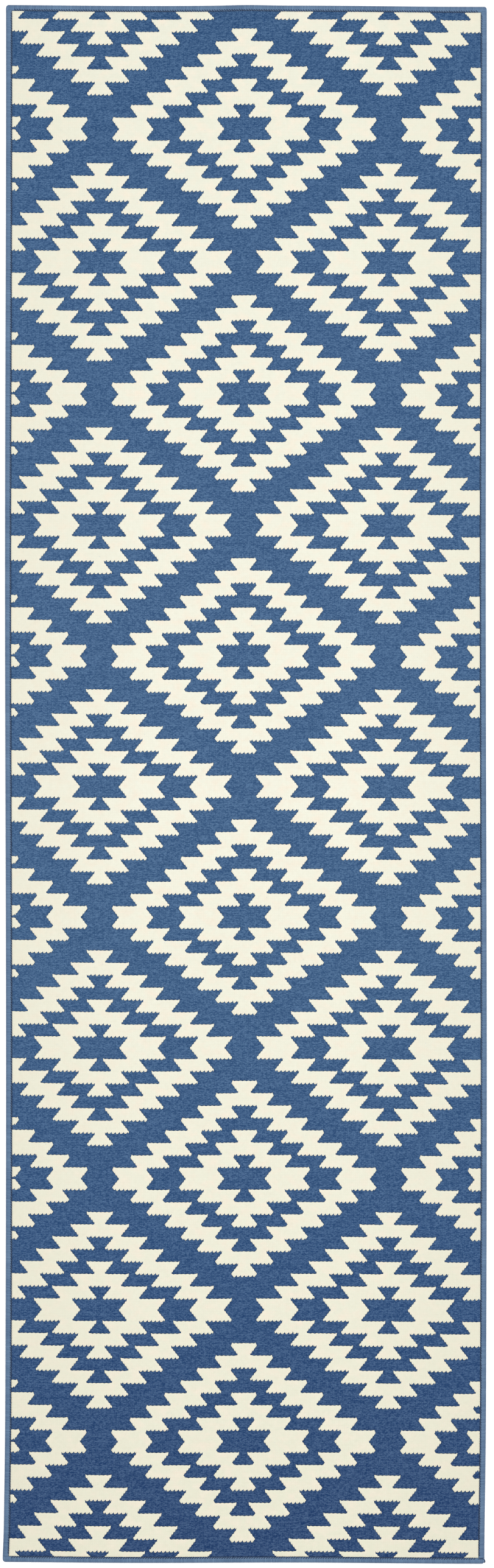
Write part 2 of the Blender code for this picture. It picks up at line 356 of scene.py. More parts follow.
# %% [markdown]
# ## From numbers to a mesh
# Pile and wraps repeat thousands of times, and building them face by face is slow. The points and
# faces are worked out as whole numpy arrays and handed to the mesh in one call each. `settle` shifts
# each point by up to a few millimetres, depending only on where it lies. That gives the runner the
# slightly wavy outline of real cloth, while its pieces still fit together.

# %% Meshes from arrays
# The waves of the long sides and of the ends: height, radians per metre, start, and a shift
SIDE_WAVE = (0.75 * MM, 4.4, 0.42, -0.2 * MM)
END_WAVE = (0.55 * MM, 13.4, 0.04, -0.45 * MM)
SKEW = 2.5 * MM
FOOT_SWING = 2.0 * MM
FOOT_REACH = 130 * MM
HEAD_BUMP = 0.9 * MM
BUMP_REACH = 35 * MM
FLARE = 1.3 * MM
FLARE_REACH = 30 * MM


def settle(points):
    """The small shifts of a cloth that lies by hand, the same for every piece."""
    x, y = points[:, 0], points[:, 1]
    moved = points.copy()
    height, turns, start, shift = SIDE_WAVE
    moved[:, 0] += height * np.cos(turns * (y + start)) + shift
    moved[:, 0] -= FOOT_SWING * np.exp(-(((y + rug_half_y) / FOOT_REACH) ** 2))
    height, turns, start, shift = END_WAVE
    moved[:, 1] += height * np.sin(turns * (x + start)) + shift - SKEW * x
    moved[:, 1] += HEAD_BUMP * np.exp(-((x / BUMP_REACH) ** 2)) * (1 + y / rug_half_y) / 2
    corner = np.exp(-((x + rug_half_x) ** 2 + (y + rug_half_y) ** 2) / FLARE_REACH**2)
    moved[:, 0] -= FLARE * corner
    return moved


def make_piece(name, points, face_groups, finish, nodes, bake_map=None, tone=None, wraps=None):
    """A piece from its points and groups of faces. Each group is an array with a face per row."""
    mesh = bpy.data.meshes.new(name)
    points = settle(points)
    mesh.vertices.add(len(points))
    mesh.vertices.foreach_set("co", points.astype(np.float32).ravel())
    corners = np.concatenate([group.ravel() for group in face_groups]).astype(np.int32)
    sides = np.concatenate([np.full(len(group), group.shape[1]) for group in face_groups])
    mesh.loops.add(len(corners))
    mesh.loops.foreach_set("vertex_index", corners)
    mesh.polygons.add(len(sides))
    mesh.polygons.foreach_set("loop_start", (np.cumsum(sides) - sides).astype(np.int32))
    mesh.polygons.foreach_set("use_smooth", np.ones(len(sides), dtype=bool))
    mesh.update(calc_edges=True)
    for map_name, values in (("OFBake", bake_map), ("wraps", wraps)):
        if values is not None:
            layer = mesh.uv_layers.new(name=map_name)
            layer.uv.foreach_set("vector", values.astype(np.float32).ravel())
    if tone is not None:
        mesh.attributes.new("tone", "FLOAT", "POINT").data.foreach_set("value", tone.astype(np.float32))
    mesh.materials.append(finish.material)
    piece = bpy.data.objects.new(name, mesh)
    bpy.context.scene.collection.objects.link(piece)
    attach(piece, "root")
    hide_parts(*nodes)
    return piece


# %% [markdown]
# ## The pattern, tuft by tuft
# The loom makes the pattern out of tufts: one column of tufts per warp thread, or end, one row per
# pass of the weft, and each tuft is either blue or cream. So the pattern here is a table of tufts
# too. A diamond is four nested stepped outlines, each starting two courses after the last, and the
# colour changes at each of them. A course is five rows high. Its first row, on the side of the
# diamond's tip, is the widest, and every row after it draws in further, which gives the outline its
# arrowheads. The wefts were not beaten up evenly, so the rows drift a few millimetres along the
# runner, most of all near its head and its foot, and close up again at the very edge.

# %% Table of tufts
END_PITCH = 2.865 * MM
ROWS_PER_REPEAT = 106
ROWS_PER_COURSE = 5
MIDDLE_COURSE = 7
TIP_ROW = ROWS_PER_COURSE * (MIDDLE_COURSE + 1) - 1
# Each outline by the course that it starts at: how many ends wide half of each of its courses is
OUTLINES = {
    0: (6, 14, 23, 31, 39, 48, 56, 65), 2: (6, 14, 21, 29, 40, 48), 4: (6, 14, 23, 32), 6: (5, 13),
}
TIP_SPREAD = 0.3
ROW_RETREAT = np.array((0.0, 0.45, 1.5, 2.5, 3.5))
OFF_CENTRE = -1
BLUE = -1
REPEATS_EACH_WAY = 3
MIDDLE_DRIFT = 1.7 * MM
HALVES_DRIFT = 2.0 * MM
HEAD_DRIFT, HEAD_DRIFT_MIDDLE, HEAD_DRIFT_REACH = 3.4 * MM, 1060 * MM, 160 * MM
FOOT_DRIFT, FOOT_DRIFT_REACH = 3.4 * MM, 75 * MM
CLOSE_UP = 5 * MM

column_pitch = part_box("cream_diamond_centre_2")[1].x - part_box("cream_diamond_left_2")[1].x
diamond_pitch = sum(
    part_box("cream_diamond_left_2")[side].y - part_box("cream_diamond_left_3")[side].y for side in (0, 1)
) / 2
ends = round(2 * field_half_x / END_PITCH)
row_pitch = diamond_pitch / ROWS_PER_REPEAT
rows = 2 * round(field_half_y / row_pitch)
line_x = np.linspace(-field_half_x, field_half_x, ends + 1)
line_y = np.linspace(-field_half_y, field_half_y, rows + 1)
turn_y = math.pi * line_y / field_half_y
from_head, from_foot = field_half_y - line_y, field_half_y + line_y
head_drift = HEAD_DRIFT * np.exp(-(((line_y - HEAD_DRIFT_MIDDLE) / HEAD_DRIFT_REACH) ** 2))
foot_drift = FOOT_DRIFT * np.exp(-((from_foot / FOOT_DRIFT_REACH) ** 2))
line_y -= MIDDLE_DRIFT * np.cos(turn_y / 2) + HALVES_DRIFT * np.sin(turn_y)
line_y += head_drift * (1 - np.exp(-from_head / CLOSE_UP))
line_y -= foot_drift * (1 - np.exp(-from_foot / CLOSE_UP))


def in_diamond(across, rows_up):
    """True where a tuft is cream: across is in ends and rows_up in rows from a diamond's middle."""
    rows_away = np.abs(rows_up)
    course = MIDDLE_COURSE - rows_away // ROWS_PER_COURSE
    retreat = ROW_RETREAT[ROWS_PER_COURSE - 1 - rows_away % ROWS_PER_COURSE] - TIP_SPREAD
    cream = np.zeros(np.broadcast(across, rows_away).shape, dtype=bool)
    for start, widths in OUTLINES.items():
        edge = np.array(widths)[np.clip(course - start, 0, len(widths) - 1)] - retreat
        cream ^= (course >= start) & (across < edge)
    return cream


diamonds = []
owner = np.full((rows, ends), BLUE)
COLUMNS = {"left_edge": -2, "left": -1, "centre": 0, "right": 1, "right_edge": 2}
for label, column in COLUMNS.items():
    shift = ROWS_PER_REPEAT // 2 if column % 2 == 0 else 0
    repeats = range(REPEATS_EACH_WAY, -REPEATS_EACH_WAY - 1, -1)
    middle_rows = [rows // 2 - 1 + row * ROWS_PER_REPEAT + shift for row in repeats]
    middle_rows = [row for row in middle_rows if -TIP_ROW < row < rows + TIP_ROW]
    across = np.abs(np.arange(ends) + 0.5 - ends / 2 - OFF_CENTRE - column * column_pitch / END_PITCH)
    for number, middle_row in enumerate(middle_rows, 1):
        rows_up = np.arange(rows) - middle_row
        owner[in_diamond(across[None, :], rows_up[:, None])] = len(diamonds)
        diamonds.append(f"cream_diamond_{label}_{number}")
# The outermost end on each side takes its neighbour's colours, so that no sliver shows at the edge
owner[:, 0], owner[:, -1] = owner[:, 1], owner[:, -2]
print(f"{rows} rows of {ends} tufts, {row_pitch / MM:.2f} mm apart along and "
      f"{(line_x[1] - line_x[0]) / MM:.2f} mm across; {(owner == BLUE).mean():.0%} of them blue")

# %% [markdown]
# ## Where the colours meet
# Two neighbouring ends bind over different wefts, so a straight edge between two colours is really
# a row of teeth, two ends apart. The pile leans towards the foot of the runner. Where cream is on
# the head side it falls over the blue and the teeth stand out, and where blue is on the head side
# they nearly close up. The corners of the tuft table are moved to give those teeth. The small steps
# of the slanted ends are softened, as real tufts spread into each other, and each arm is drawn out
# to a point one row in from its level edge.

# %% Corners of the tufts
SOFTEN = 0.30
TOOTH = 1.50 * MM
FAINT_TOOTH = 0.35 * MM
TOOTH_LEAN = 0.95 * MM
LOBE_DROP = 0.85 * MM
LONG_TIP = 0.90 * MM
WANDER = 0.16 * MM
TIP_WANDER = 1.5
UNEVEN_TEETH = (0.7, 1.25)
PILE_LEAN = 0.5 * MM
POINT = 1.3 * MM
TUCK = 0.6 * MM

chance = np.random.default_rng(11)
corners = np.stack(np.meshgrid(line_x, line_y), axis=-1)

# Two tufts that meet a like one only corner to corner would pinch the mesh, so one of them changes
for _ in range(rows):
    crossed = (owner[:-1, :-1] == owner[1:, 1:]) & (owner[1:, :-1] == owner[:-1, 1:]) & (
        owner[:-1, :-1] != owner[1:, :-1])
    if not crossed.any():
        break
    owner[:-1, :-1][crossed] = owner[1:, :-1][crossed]

# %% Edges between two colours
neighbour_sum, neighbours = np.zeros_like(corners), np.zeros(corners.shape[:2])
level = np.zeros((rows + 1, ends), dtype=bool)
level[1:-1] = owner[1:] != owner[:-1]
upright = np.zeros((rows, ends + 1), dtype=bool)
upright[:, 1:-1] = owner[:, 1:] != owner[:, :-1]
for here, there, linked in (
    (np.s_[:, :-1], np.s_[:, 1:], level), (np.s_[:, 1:], np.s_[:, :-1], level),
    (np.s_[:-1], np.s_[1:], upright), (np.s_[1:], np.s_[:-1], upright),
):
    neighbour_sum[here] += corners[there] * linked[..., None]
    neighbours[here] += linked
# A level edge of three ends or more is a course's own: it is softened only where an upright edge
# rises from it
long_run = level[:, :-2] & level[:, 1:-1] & level[:, 2:]
in_long_run = np.zeros_like(neighbours, dtype=bool)
for shift in range(4):
    in_long_run[:, shift:ends - 2 + shift] |= long_run
print(f"{int(level.sum())} level and {int(upright.sum())} upright edges lie between two colours")

# %% Softened steps and pointed arms
blue = owner == BLUE
hanging = (blue[:-1, :-1] == blue[:-1, 1:]) & (blue[1:, :-1] != blue[1:, 1:])
soft = (neighbours == 2) & ~in_long_run
soft[1:-1, 1:-1] |= hanging
soft[[0, -1]] = soft[:, [0, -1]] = False
corners[soft] += SOFTEN * (neighbour_sum[soft] / 2 - corners[soft])

run_starts = level[:, 1:].astype(int) - level[:, :-1]
straight = upright[:-1, 1:-1] & upright[1:, 1:-1]
from_below, from_above = straight * run_starts[:-2], straight * run_starts[2:]
corners[1:-1, 1:-1, 0] -= POINT * np.clip(from_below + from_above, -1, 1)
corners[:-2, 1:-1, 0] += TUCK * from_below
corners[2:, 1:-1, 0] += TUCK * from_above
print(f"{int(soft.sum())} softened corners")

# %% Teeth and tips
below_blue, above_blue = blue[:-1], blue[1:]
both_below = below_blue[:, 1:] & below_blue[:, :-1]
both_above = above_blue[:, 1:] & above_blue[:, :-1]
none_below = ~below_blue[:, 1:] & ~below_blue[:, :-1]
none_above = ~above_blue[:, 1:] & ~above_blue[:, :-1]
middles = (corners[:, 1:] + corners[:, :-1]) / 2
inner = corners[1:-1, 1:-1]
tooth_way = np.where(np.arange(1, ends) % 2, 1.0, -1.0)[None, :]
uneven = chance.uniform(*UNEVEN_TEETH, inner.shape[:2])
inner[..., 1] += (TOOTH * (none_above & both_below) + FAINT_TOOTH * (both_above & none_below)) * (
    tooth_way * uneven)
inner[..., 0] += TOOTH_LEAN * (none_above & both_below) * (tooth_way > 0) * uneven
changes_below = below_blue[:, 1:] != below_blue[:, :-1]
standing = (both_above | none_above) & changes_below & in_long_run[1:-1, 1:-1]
inner[..., 1] += LONG_TIP * standing
strong_edge = below_blue & ~above_blue
middles[1:-1] = np.where(strong_edge[..., None], middles[1:-1] - (0, LOBE_DROP),
                         (corners[1:-1, 1:] + corners[1:-1, :-1]) / 2)
middles += chance.uniform(-WANDER, WANDER, middles.shape)
inner += chance.uniform(-WANDER, WANDER, inner.shape)
tips = (corners[:-1, :-1] + corners[1:, :-1] + corners[:-1, 1:] + corners[1:, 1:]) / 4
tips += chance.uniform(-WANDER, WANDER, tips.shape) * TIP_WANDER
tips[..., 1] -= PILE_LEAN
print(f"{int((none_above & both_below).sum())} strong teeth")

# %% [markdown]
# ## A body of pile
# Every tuft becomes a small dome: its four corners sit low, in the gaps between the tufts, and its
# tip sits high. Where the next tuft has the other colour, a wall goes down into the pile and the
# corners draw in a little, so that two colours never share a surface. The blue pile is one body
# with a pocket for each diamond, and each cream diamond is a body that fills its pocket. Where two
# colours meet along a row, the edge has one more point in its middle, which rounds the teeth.

# %% Heights, painted light and shade
GROOVE = 0.55 * MM
# The rim of each colour: how much painted light it keeps, low values painting shade along it, and
# how far under the top it lies
BLUE_RIM, CREAM_RIM = (0.15, 0.75 * MM), (1.0, 0.30 * MM)
OUTER_SPREAD = 0.80 * MM
DRAW_IN = 0.10 * MM
UNEVEN_TOP = 0.22 * MM
# Painted shade in the gaps between tufts and painted light on their tips, each spread at random
GAP_SHADE_RANGE = (0.10, 0.40)
TIP_LIGHT_RANGE = (0.60, 1.0)

groove_depth = GROOVE + chance.uniform(-0.5, 0.5, corners.shape[:2]) * UNEVEN_TOP
tip_depth = chance.uniform(0.0, 1.0, tips.shape[:2]) ** 2 * UNEVEN_TOP
gap_shade_and_tone = chance.uniform(*GAP_SHADE_RANGE, corners.shape[:2])
tip_light_and_tone = chance.uniform(*TIP_LIGHT_RANGE, tips.shape[:2])
print(f"the gaps are {groove_depth.mean() / MM:.2f} mm deep on average")


# %% Walls and outer ring
def walls(own, corner, middle, low):
    """Faces from the top corners down to the low ones, round own: four-sided, then five-sided."""
    around = np.pad(own, 1)
    west, east = around[1:-1, :-1], around[1:-1, 1:]
    south, north = around[:-1, 1:-1], around[1:, 1:-1]
    upright_walls, level_walls = [], []
    for a, b, there in ((corner[:-1], corner[1:], west & ~east), (corner[1:], corner[:-1], east & ~west)):
        a, b = a[there], b[there]
        upright_walls.append(np.stack([a + low, b + low, b, a], axis=-1))
    for a, b, there in ((corner[:, :-1], corner[:, 1:], north & ~south),
                        (corner[:, 1:], corner[:, :-1], south & ~north)):
        a, b = a[there], b[there]
        level_walls.append(np.stack([a + low, b + low, b, middle[there], a], axis=-1))
    return np.concatenate(upright_walls), np.concatenate(level_walls)


def ring_round(corner):
    """The outer corners of the table, counter-clockwise."""
    return np.concatenate([corner[0, :-1], corner[:-1, -1], corner[-1, :0:-1], corner[:0:-1, 0]])


# %% Pile body
def drawn_in(points, rim, toward):
    """The points, with those of the rim moved a little towards their own tufts."""
    away = np.linalg.norm(toward, axis=-1)[..., None]
    return points + DRAW_IN * rim[..., None] * toward / np.maximum(away, DRAW_IN)


def pile_body(own, window, floor_z, rim_light_level, rim_depth):
    """Points, painted light and shade, and faces of the tufts of own: the table's part in window."""
    tall, wide = own.shape
    grid = (slice(window[0], window[0] + tall + 1), slice(window[1], window[1] + wide + 1))
    cells = (slice(window[0], window[0] + tall), slice(window[1], window[1] + wide))
    edges = (grid[0], cells[1])
    corner = np.arange((tall + 1) * (wide + 1)).reshape(tall + 1, wide + 1)
    low = corner.size
    around = np.pad(own, 1).astype(float)
    own_tips = np.pad(tips[cells] * own[..., None], ((1, 1), (1, 1), (0, 0)))
    four = ((slice(None, -1), slice(None, -1)), (slice(1, None), slice(None, -1)),
            (slice(None, -1), slice(1, None)), (slice(1, None), slice(1, None)))
    touching = sum(around[part] for part in four)
    toward = sum(own_tips[part] for part in four) / np.maximum(touching, 1)[..., None] - corners[grid]
    rim = (touching > 0) & (touching < 4)
    split = around[:-1, 1:-1] != around[1:, 1:-1]
    toward_own = own_tips[:-1, 1:-1] + own_tips[1:, 1:-1] - middles[edges]
    flat = drawn_in(corners[grid], rim, toward)
    flat_middles = drawn_in(middles[edges], split, toward_own)
    rows_here, ends_here = np.mgrid[grid]
    outermost = (rows_here % rows == 0) | (ends_here % ends == 0)
    depth = np.where(outermost, OUTER_SPREAD, np.where(rim, rim_depth, groove_depth[grid]))
    middle_depth = np.where(rows_here[:, :-1] % rows == 0, OUTER_SPREAD, rim_depth)
    points = np.concatenate([
        np.dstack([flat, pile_top_z - depth]).reshape(-1, 3),
        np.dstack([flat, np.full(flat.shape[:2], floor_z)]).reshape(-1, 3),
        np.dstack([tips[cells], pile_top_z - tip_depth[cells]]).reshape(-1, 3),
        np.dstack([flat_middles, pile_top_z - middle_depth]).reshape(-1, 3),
    ])
    # Painted shade on the rims and in the gaps, painted light on the tips; the floors get none
    tone = np.concatenate([
        np.where(rim, rim_light_level, gap_shade_and_tone[grid]).ravel(), np.zeros(low), tip_light_and_tone[cells].ravel(),
        np.full(split.size, rim_light_level),
    ])
    tip = 2 * low + np.arange(own.size).reshape(own.shape)
    middle = 2 * low + own.size + np.arange(split.size).reshape(split.shape)
    sw, se, ne, nw = corner[:-1, :-1], corner[:-1, 1:], corner[1:, 1:], corner[1:, :-1]
    whole_south, whole_north = own & ~split[:-1], own & ~split[1:]
    cut_south, cut_north = own & split[:-1], own & split[1:]
    domes = np.concatenate([
        np.stack([a[there], b[there], tip[there]], axis=-1)
        for a, b, there in (
            (sw, se, whole_south), (se, ne, own), (ne, nw, whole_north), (nw, sw, own),
            (sw, middle[:-1], cut_south), (middle[:-1], se, cut_south),
            (ne, middle[1:], cut_north), (middle[1:], nw, cut_north),
        )
    ])
    floors = np.stack([sw, se, ne, nw], axis=-1) + low
    return points, tone, domes, walls(own, corner, middle, low), floors


# %% Spare points and bake map
def trimmed(points, tone, groups):
    """The same faces without the points that none of them uses."""
    used, order = np.unique(np.concatenate([group.ravel() for group in groups]), return_inverse=True)
    found, start = [], 0
    for group in groups:
        found.append(order[start:start + group.size].reshape(group.shape))
        start += group.size
    return points[used], tone[used], found


# Where each strip of the bake map starts and how wide it is, and how much the walls' strip slants
TOP_STRIP, FLOOR_STRIP, WALL_STRIP = (0.0, 0.70), (0.72, 0.12), (0.86, 0.13)
WALL_SLANT = 0.3


def pile_map(points, groups):
    """A flat map for baking: the tops in a wide strip, the floors and the walls in narrow ones."""
    low, high = points.min(axis=0), points.max(axis=0)
    share = (points - low) / (high - low)
    slope = (WALL_SLANT * share[:, 0] + share[:, 1]) / (WALL_SLANT + 1)
    top = np.stack([TOP_STRIP[0] + TOP_STRIP[1] * share[:, 0], share[:, 1]], axis=-1)
    floor = np.stack([FLOOR_STRIP[0] + FLOOR_STRIP[1] * share[:, 0], share[:, 1]], axis=-1)
    wall = np.stack([WALL_STRIP[0] + WALL_STRIP[1] * share[:, 2], slope], axis=-1)
    kinds = (top, wall, wall, floor, floor, floor, floor)
    return np.concatenate([kind[group.ravel()] for kind, group in zip(kinds, groups)])


# %% Blue pile
SELVEDGE_STATIONS = 60


def selvedge(first):
    """The blue yarn's loops that run on under the serging: a flat ring round the field."""
    along = np.linspace(-1, 1, SELVEDGE_STATIONS, endpoint=False)
    one = np.ones_like(along)
    a, b = np.concatenate([along, one, -along, -one]), np.concatenate([-one, along, one, -along])
    inner_x, inner_y = field_half_x + GAP / 2, field_half_y + GAP / 2
    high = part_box("stitching_left")[0].z - GAP
    section = ((cloth_half_x, cloth_half_y, root_z), (cloth_half_x, cloth_half_y, high),
               (inner_x, inner_y, high), (inner_x, inner_y, root_z))
    points = np.stack([np.stack([a * x, b * y, one.repeat(4) * z], axis=-1) for x, y, z in section], 1)
    count = len(points)
    number = first + np.arange(4 * count).reshape(count, 4)
    on, over = np.roll(number, -1, axis=0), np.roll(number, -1, axis=1)
    both = np.roll(on, -1, axis=1)
    return points.reshape(-1, 3), np.stack([number, on, both, over], axis=-1).reshape(-1, 4)


points, tone, domes, sides, floors = pile_body(blue, (0, 0), pocket_z, *BLUE_RIM)
rim_low = ring_round(np.arange(corners[..., 0].size).reshape(corners.shape[:2])) + corners[..., 0].size
root_points = points[rim_low] * (1, 1, 0) + (0, 0, root_z)
root = len(points) + np.arange(len(rim_low))
skirt = np.stack([root, np.roll(root, -1), np.roll(rim_low, -1), rim_low], axis=-1)
ring_points, ring_faces = selvedge(len(points) + len(root))
points = np.concatenate([points, root_points, ring_points])
tone = np.concatenate([tone, np.zeros(len(root) + len(ring_points))])
groups = [domes, *sides, floors[~blue], skirt, root[None, ::-1], ring_faces]
points, tone, groups = trimmed(points, tone, groups)
blue_pile = make_piece("blue_pile", points, groups, blue_yarn, ["blue_ground_pile"],
                       bake_map=pile_map(points, groups), tone=tone)
print(f"blue pile: {int(blue.sum())} tufts, {len(blue_pile.data.polygons)} faces")

# %% Cream diamonds
for index, name in enumerate(diamonds):
    found_rows, found_ends = np.nonzero(owner == index)
    first_row, first_end = found_rows.min(), found_ends.min()
    own = (owner == index)[first_row:found_rows.max() + 1, first_end:found_ends.max() + 1]
    points, tone, domes, sides, floors = pile_body(own, (first_row, first_end), cream_low_z,
                                                   *CREAM_RIM)
    points, tone, groups = trimmed(points, tone, [domes, *sides, floors[own][:, ::-1]])
    make_piece(name.replace("cream_diamond", "cream_pile"), points, groups,
                                   cream_yarn, [name], bake_map=pile_map(points, groups), tone=tone)

# %% [markdown]
# ## Yarn that is swept along a path
# Serging, thread, wefts and warps are all one section carried along a line. `sweep` takes the
# sections one after another and joins them into a closed skin. It also lays out a map for baking in
# short strips, because a bead two metres long and a few millimetres round would waste a square one.

# %% Sweep
STRIP_FILL = 0.97
CAP_MAP_MIDDLE, CAP_MAP_RADIUS = 0.002, 0.001


def sweep(sections, strips):
    """Points, faces and bake map of a closed skin through sections, an array of rings of points."""
    count, sides, _ = sections.shape
    number = np.arange(count * sides).reshape(count, sides)
    over = np.roll(number, -1, axis=1)
    skin = np.stack([number[:-1], number[1:], over[1:], over[:-1]], axis=-1)
    caps = np.stack([number[0], number[-1, ::-1]])
    along, across = np.mgrid[:count - 1, :sides]
    per_strip = math.ceil((count - 1) / strips)
    strip = along // per_strip
    u = (along % per_strip)[..., None] + np.array([0, 1, 1, 0])
    v = across[..., None] + np.array([0, 0, 1, 1])
    skin_map = np.stack([u / per_strip, (strip[..., None] + STRIP_FILL * v / sides) / strips], axis=-1)
    turn = np.linspace(0, 2 * math.pi, sides, endpoint=False)
    cap_map = CAP_MAP_MIDDLE + CAP_MAP_RADIUS * np.stack([np.cos(turn), np.sin(turn)], axis=-1)
    bake_map = np.concatenate([skin_map.reshape(-1, 2), cap_map, cap_map])
    faces = [skin.reshape(-1, 4), caps]
    middle = sections.mean(axis=1)
    ahead = middle[-1] - middle[0]
    first = sections[0] - middle[0]
    if np.dot(np.cross(first, np.roll(first, -1, axis=0)).sum(axis=0), ahead) < 0:
        faces = [group[:, ::-1] for group in faces]
        bake_map = np.concatenate([skin_map[..., ::-1, :].reshape(-1, 2), cap_map, cap_map])
    return sections.reshape(-1, 3), faces, bake_map


# %% [markdown]
# ## The serged edge
# Serging is yarn wrapped round the edge so tightly that it makes a rounded bead. Each wrap lies a
# little slanted and bulges between the dips on both sides of it. The section is a flattened oval,
# open on the inner side where the cloth goes in, and the wraps are waves along the sweep. The head
# and the foot are sewn last, so their beads run the full width and round the corners.

# %% Section of the bead
WRAP_PITCH = 1.75 * MM
WRAP_STATIONS = 4
WRAP_HEIGHT = 0.28 * MM
WRAP_SLANT = 2.6 * MM
BEAD_TOP = 7.6 * MM
BEAD_MIDDLE = 4.6 * MM
BEAD_WAIST = 3.75 * MM
SQUARENESS = 2.6
CORNER_RADIUS = 4 * MM
OVAL_POINTS = 11
OUTER_SHADE = 0.15
SHADE_REACH = 3.5 * MM
LIP = 0.8 * MM
SLOT_LOW = 0.75 * MM
SLOT_ROOM_ABOVE, SLOT_ROOM_BESIDE = 0.05 * MM, 0.2 * MM
WRAP_FULLNESS = 0.8
UNEVEN_WRAPS = (0.8, 1.15)
SLANT_FADE, SLANT_MIDDLE = 6 * MM, 0.3
END_TUCK_REACH, END_TUCK = 2 * MM, 0.7

bead_width = rug_half_y - side_half_y - GAP + LIP
slot_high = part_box("stitching_left")[0].z - SLOT_ROOM_ABOVE
slot_side = rug_half_x - cloth_half_x - SLOT_ROOM_BESIDE


def bead_section():
    """(distance in from the edge, height, how far a wrap bulges there) round the bead."""
    start = math.acos(((bead_width - BEAD_MIDDLE) / BEAD_MIDDLE) ** (SQUARENESS / 2))
    turns = np.linspace(start, 1.5 * math.pi, OVAL_POINTS)
    cosine, sine = np.cos(turns), np.sin(turns)
    inwards = BEAD_MIDDLE * (1 + np.sign(cosine) * np.abs(cosine) ** (2 / SQUARENESS))
    reach = np.where(sine > 0, BEAD_TOP - BEAD_WAIST, BEAD_WAIST)
    height = BEAD_WAIST + reach * np.sign(sine) * np.abs(sine) ** (2 / SQUARENESS)
    slot = [(bead_width, 0.0), (bead_width, SLOT_LOW), (slot_side, SLOT_LOW),
            (slot_side, slot_high), (bead_width, slot_high)]
    oval = np.stack([inwards, height, cosine, sine], axis=-1)
    return np.concatenate([oval, [(u, z, 0.0, 0.0) for u, z in slot]])


# %% Wraps along the bead
def bead(half_length, rounded):
    """Sections of a bead along S: (s, distance in from the edge, height), and its painted shade."""
    shape = bead_section()
    wraps_here = round(2 * half_length / WRAP_PITCH)
    phase = np.arange(wraps_here * WRAP_STATIONS + 1) / WRAP_STATIONS
    s = (phase / wraps_here * 2 - 1) * half_length
    bulge = np.abs(np.sin(math.pi * phase)) ** WRAP_FULLNESS * chance.uniform(*UNEVEN_WRAPS, len(s))
    inwards = shape[:, 0] + WRAP_HEIGHT * shape[:, 2] * (bulge[:, None] - 0.5)
    height = np.maximum(shape[:, 1] + WRAP_HEIGHT * shape[:, 3] * (bulge[:, None] - 0.5), 0.0)
    to_end = half_length - np.abs(s)
    slant = WRAP_SLANT * np.clip(to_end / SLANT_FADE, 0, 1)[:, None] * (
        np.linspace(0, 1, len(shape)) - SLANT_MIDDLE)
    if rounded:
        inside = np.clip(CORNER_RADIUS - to_end, 0, CORNER_RADIUS)
        drop = CORNER_RADIUS - np.sqrt(CORNER_RADIUS**2 - inside**2)
        inwards = drop[:, None] + inwards * (1 - drop / bead_width)[:, None]
        tuck = np.clip(1 - to_end / END_TUCK_REACH, 0, 1)
        height = np.where(height > BEAD_WAIST, BEAD_WAIST + (height - BEAD_WAIST)
                          * np.sqrt(1 - END_TUCK * tuck**2)[:, None], height)
    sections = np.stack([s[:, None] + slant, inwards, height], axis=-1)
    # Painted light and shade: darker towards the bead's outer rim and in the dips between wraps
    lit = np.clip(OUTER_SHADE + (1 - OUTER_SHADE) * shape[:, 0] / SHADE_REACH, 0, 1)
    tone = (bulge[:, None] * lit).ravel()
    return sections, tone, phase


# %% Serged edges
def along_side(sign):
    """Carries (s, inwards, height) to a long side: -1 is the left one and 1 the right one."""
    return lambda p: np.stack([sign * (rug_half_x - p[..., 1]), p[..., 0], p[..., 2]], axis=-1)


def along_end(sign):
    """The same for the head, 1, and the foot, -1."""
    return lambda p: np.stack([p[..., 0], sign * (rug_half_y - p[..., 1]), p[..., 2]], axis=-1)


SIDES = (
    ("left", along_side(-1), side_half_y, False), ("right", along_side(1), side_half_y, False),
    ("head", along_end(1), rug_half_x, True), ("foot", along_end(-1), rug_half_x, True),
)
for side, carry, half_length, rounded in SIDES:
    sections, tone, phase = bead(half_length, rounded)
    count, around = sections.shape[:2]
    points, faces, bake_map = sweep(carry(sections), strips=16 if half_length > 1 else 8)
    number = np.arange(count * around)
    wrap_place = np.stack([phase[number // around], number % around], axis=-1)
    wrap_map = np.concatenate([wrap_place[group.ravel()] for group in faces])
    make_piece(f"serged_edge_{side}", points, faces, serging_yarn,
                                  [f"serging_{side}"], bake_map=bake_map, tone=tone, wraps=wrap_map)
    print(f"serged edge, {side}: {(count - 1) // WRAP_STATIONS} wraps")

# %% [markdown]
# ## The lock stitching
# A navy thread holds the inner lip of the serging down on the cloth. It shows as short slanted
# stitches, each one climbing out of the bead, crossing to the pile and diving in there. The whole
# thread is one path, with the same few points repeated for every stitch. Its last end is left loose
# at a corner of the foot.

# %% Path of the thread
STITCH_PITCH = 3.5 * MM
THREAD_RADIUS = 0.50 * MM
THREAD_SIDES = 6
# In millimetres: the middle of a stitch, how far a narrow one moves in, and how unevenly they lie
STITCH_MIDDLE, NARROW_STITCH_SHIFT, STITCH_WOBBLE = 7.4, 0.5, 0.3
# One stitch: distance in from the edge and height in millimetres, and how far along it is
STITCH_POINTS = (
    (5.9, 6.90, 0.00), (6.2, 7.65, 0.08), (7.3, 7.95, 0.36), (8.3, 7.80, 0.64),
    (8.7, 6.90, 0.72), (8.1, 6.50, 0.80), (6.4, 6.40, 0.94),
)
# The loose end at one corner: how far past it, distance in from the edge and height in millimetres
LOOSE_END = ((-5.0, 7.5, 7.9), (-2.2, 7.3, 7.8), (-0.3, 6.3, 6.9), (0.3, 4.8, 5.8), (0.5, 3.2, 4.8),
             (0.3, 1.6, 4.0))
# How much thicker the untwisted thread is at each of those points
LOOSE_END_SWELL = (1.0, 1.0, 1.1, 1.5, 1.9, 1.6)


